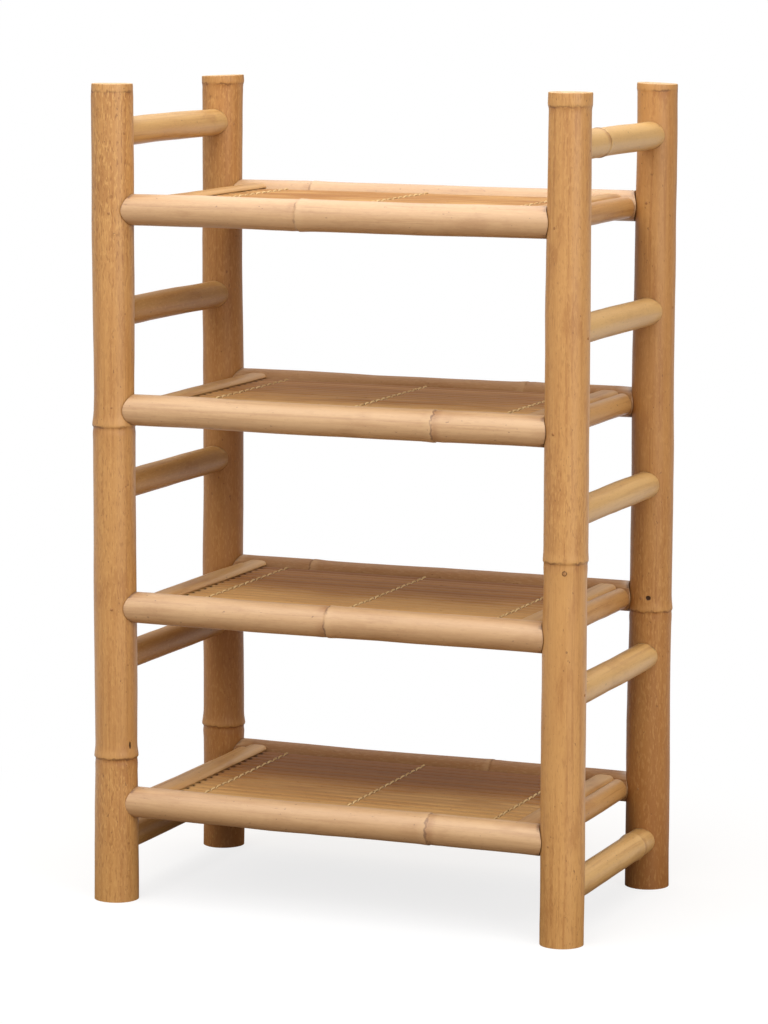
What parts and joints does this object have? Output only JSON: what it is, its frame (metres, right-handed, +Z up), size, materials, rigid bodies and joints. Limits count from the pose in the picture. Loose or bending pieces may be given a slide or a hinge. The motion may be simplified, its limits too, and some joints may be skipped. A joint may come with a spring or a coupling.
{
  "type": "tiered shoe rack",
  "caption": "Free-standing bamboo shoe rack: round posts with ladder sides of rungs carry open shelves of laced slats between rails.",
  "frame": {"origin": "on the floor, in the middle of the four posts' feet", "axes": "+Z up, along the posts; +X to the right, along the shelf rails; +Y from front to back, along the rungs"},
  "size_m": [0.6062, 0.3584, 0.95],
  "materials": {
    "post": "satin lacquered bamboo culm",
    "rail": "satin lacquered bamboo culm",
    "rung": "satin lacquered bamboo culm",
    "end_rail": "satin lacquered bamboo culm",
    "slat": "lacquered split bamboo, laced with twine",
    "bearer": "bare split bamboo",
    "batten": "satin lacquered split bamboo"
  },
  "bodies": {
    "root": {"front_left_post": "post", "front_right_post": "post", "back_left_post": "post", "back_right_post": "post", "left_rung_1": "rung", "left_rung_2": "rung", "left_rung_3": "rung", "left_rung_4": "rung", "left_rung_5": "rung", "right_rung_1": "rung", "right_rung_2": "rung", "right_rung_3": "rung", "right_rung_4": "rung", "right_rung_5": "rung", "shelf_1_front_rail": "rail", "shelf_1_back_rail": "rail", "shelf_1_left_end_rail": "end_rail", "shelf_1_right_end_rail": "end_rail", "shelf_1_slat_mat": "slat", "shelf_1_left_bearer": "bearer", "shelf_1_middle_bearer": "bearer", "shelf_1_right_bearer": "bearer", "shelf_1_left_batten": "batten", "shelf_1_right_batten": "batten", "shelf_2_front_rail": "rail", "shelf_2_back_rail": "rail", "shelf_2_left_end_rail": "end_rail", "shelf_2_right_end_rail": "end_rail", "shelf_2_slat_mat": "slat", "shelf_2_left_bearer": "bearer", "shelf_2_middle_bearer": "bearer", "shelf_2_right_bearer": "bearer", "shelf_2_left_batten": "batten", "shelf_2_right_batten": "batten", "shelf_3_front_rail": "rail", "shelf_3_back_rail": "rail", "shelf_3_left_end_rail": "end_rail", "shelf_3_right_end_rail": "end_rail", "shelf_3_slat_mat": "slat", "shelf_3_left_bearer": "bearer", "shelf_3_middle_bearer": "bearer", "shelf_3_right_bearer": "bearer", "shelf_3_left_batten": "batten", "shelf_3_right_batten": "batten", "shelf_4_front_rail": "rail", "shelf_4_back_rail": "rail", "shelf_4_left_end_rail": "end_rail", "shelf_4_right_end_rail": "end_rail", "shelf_4_slat_mat": "slat", "shelf_4_left_bearer": "bearer", "shelf_4_middle_bearer": "bearer", "shelf_4_right_bearer": "bearer", "shelf_4_left_batten": "batten", "shelf_4_right_batten": "batten"}
  },
  "joints": []
}
